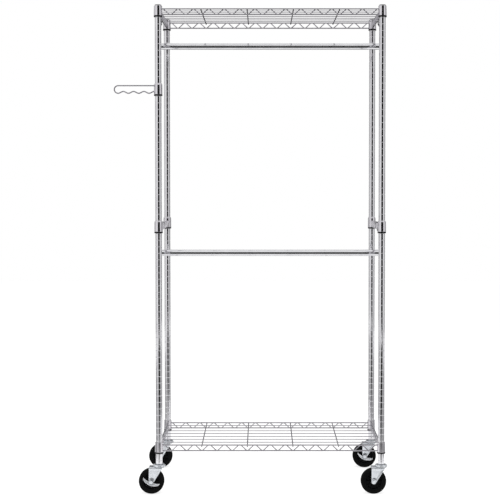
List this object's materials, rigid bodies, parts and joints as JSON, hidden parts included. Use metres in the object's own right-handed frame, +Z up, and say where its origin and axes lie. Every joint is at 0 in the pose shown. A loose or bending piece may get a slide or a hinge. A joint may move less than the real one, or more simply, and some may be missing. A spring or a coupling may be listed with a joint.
{
  "type": "rolling clothes rack",
  "caption": "Rolling clothes rack of chromed wire shelving: wire shelves at top and bottom, hanging rods at two heights, a side arm for hangers and swivel casters, some with brakes.",
  "frame": {"origin": "on the floor, midway between the posts", "axes": "+X along the hanging rods towards the right, +Y from the front to the back, +Z up; the side arm points to -X"},
  "size_m": [1.0675, 0.4835, 1.9078],
  "materials": {
    "post_chrome": "bright chromium plate on grooved steel tube",
    "wire_chrome": "bright chromium plate on welded steel wire, slight lilac cast",
    "rod_chrome": "polished chromium plate",
    "zinc_steel": "bright zinc plate, slightly blue",
    "ball_steel": "polished bearing steel, greased",
    "black_plastic": "moulded black plastic, fine grain",
    "hub_plastic": "moulded near-black plastic",
    "tyre_rubber": "solid black rubber, dull"
  },
  "bodies": {
    "rack": {"front_left_lower_post": "post_chrome", "front_left_upper_post": "post_chrome", "front_right_lower_post": "post_chrome", "front_right_upper_post": "post_chrome", "back_left_lower_post": "post_chrome", "back_left_upper_post": "post_chrome", "back_right_lower_post": "post_chrome", "back_right_upper_post": "post_chrome", "post_inserts": "zinc_steel", "post_joining_studs": "zinc_steel", "post_caps": "black_plastic", "bottom_shelf_collars": "wire_chrome", "bottom_shelf_rails": "wire_chrome", "bottom_shelf_mat": "wire_chrome", "bottom_shelf_sleeves": "black_plastic", "top_shelf_collars": "wire_chrome", "top_shelf_rails": "wire_chrome", "top_shelf_mat": "wire_chrome", "top_shelf_sleeves": "black_plastic", "side_brace_collars": "wire_chrome", "side_brace_sleeves": "black_plastic", "left_side_brace": "wire_chrome", "right_side_brace": "wire_chrome", "upper_hanging_rod": "rod_chrome", "lower_hanging_rod": "rod_chrome", "upper_rod_straps": "rod_chrome", "lower_rod_straps": "rod_chrome", "rod_end_plugs": "black_plastic", "side_arm_loop": "wire_chrome", "side_arm_collar": "wire_chrome", "side_arm_sleeve": "black_plastic", "caster_stems": "zinc_steel", "swivel_balls": "ball_steel"},
    "front_left_swivel": {"front_left_fork": "zinc_steel", "front_left_axle_bolt_and_nut": "zinc_steel", "front_left_wheel_bush": "zinc_steel", "front_left_brake_cam": "hub_plastic"},
    "front_left_wheel": {"front_left_wheel_hub": "hub_plastic", "front_left_tyre": "tyre_rubber"},
    "front_left_brake": {"front_left_brake_lever": "zinc_steel"},
    "front_right_swivel": {"front_right_fork": "zinc_steel", "front_right_axle_bolt_and_nut": "zinc_steel", "front_right_wheel_bush": "zinc_steel"},
    "front_right_wheel": {"front_right_wheel_hub": "hub_plastic", "front_right_tyre": "tyre_rubber"},
    "back_left_swivel": {"back_left_fork": "zinc_steel", "back_left_axle_bolt_and_nut": "zinc_steel", "back_left_wheel_bush": "zinc_steel"},
    "back_left_wheel": {"back_left_wheel_hub": "hub_plastic", "back_left_tyre": "tyre_rubber"},
    "back_right_swivel": {"back_right_fork": "zinc_steel", "back_right_axle_bolt_and_nut": "zinc_steel", "back_right_wheel_bush": "zinc_steel", "back_right_brake_cam": "hub_plastic"},
    "back_right_wheel": {"back_right_wheel_hub": "hub_plastic", "back_right_tyre": "tyre_rubber"},
    "back_right_brake": {"back_right_brake_lever": "zinc_steel"}
  },
  "joints": [
    {"name": "front_left_caster_swivel", "type": "hinge", "parent": "rack", "child": "front_left_swivel", "pos_m": [-0.435, -0.207, 0.108], "axis": [0, 0, 1], "continuous": true},
    {"name": "front_left_wheel_spin", "type": "hinge", "parent": "front_left_swivel", "child": "front_left_wheel", "pos_m": [-0.465, -0.207, 0.05], "axis": [0, 1, 0], "continuous": true},
    {"name": "front_left_brake_press", "type": "hinge", "parent": "front_left_swivel", "child": "front_left_brake", "pos_m": [-0.465, -0.207, 0.05], "axis": [0, 1, 0], "range_deg": [-40, 0]},
    {"name": "front_right_caster_swivel", "type": "hinge", "parent": "rack", "child": "front_right_swivel", "pos_m": [0.435, -0.207, 0.108], "axis": [0, 0, 1], "continuous": true},
    {"name": "front_right_wheel_spin", "type": "hinge", "parent": "front_right_swivel", "child": "front_right_wheel", "pos_m": [0.405, -0.207, 0.05], "axis": [0, 1, 0], "continuous": true},
    {"name": "back_left_caster_swivel", "type": "hinge", "parent": "rack", "child": "back_left_swivel", "pos_m": [-0.435, 0.207, 0.108], "axis": [0, 0, 1], "continuous": true},
    {"name": "back_left_wheel_spin", "type": "hinge", "parent": "back_left_swivel", "child": "back_left_wheel", "pos_m": [-0.465, 0.207, 0.05], "axis": [0, 1, 0], "continuous": true},
    {"name": "back_right_caster_swivel", "type": "hinge", "parent": "rack", "child": "back_right_swivel", "pos_m": [0.435, 0.207, 0.108], "axis": [0, 0, 1], "continuous": true},
    {"name": "back_right_wheel_spin", "type": "hinge", "parent": "back_right_swivel", "child": "back_right_wheel", "pos_m": [0.405, 0.207, 0.05], "axis": [0, 1, 0], "continuous": true},
    {"name": "back_right_brake_press", "type": "hinge", "parent": "back_right_swivel", "child": "back_right_brake", "pos_m": [0.405, 0.207, 0.05], "axis": [0, 1, 0], "range_deg": [-40, 0]}
  ]
}
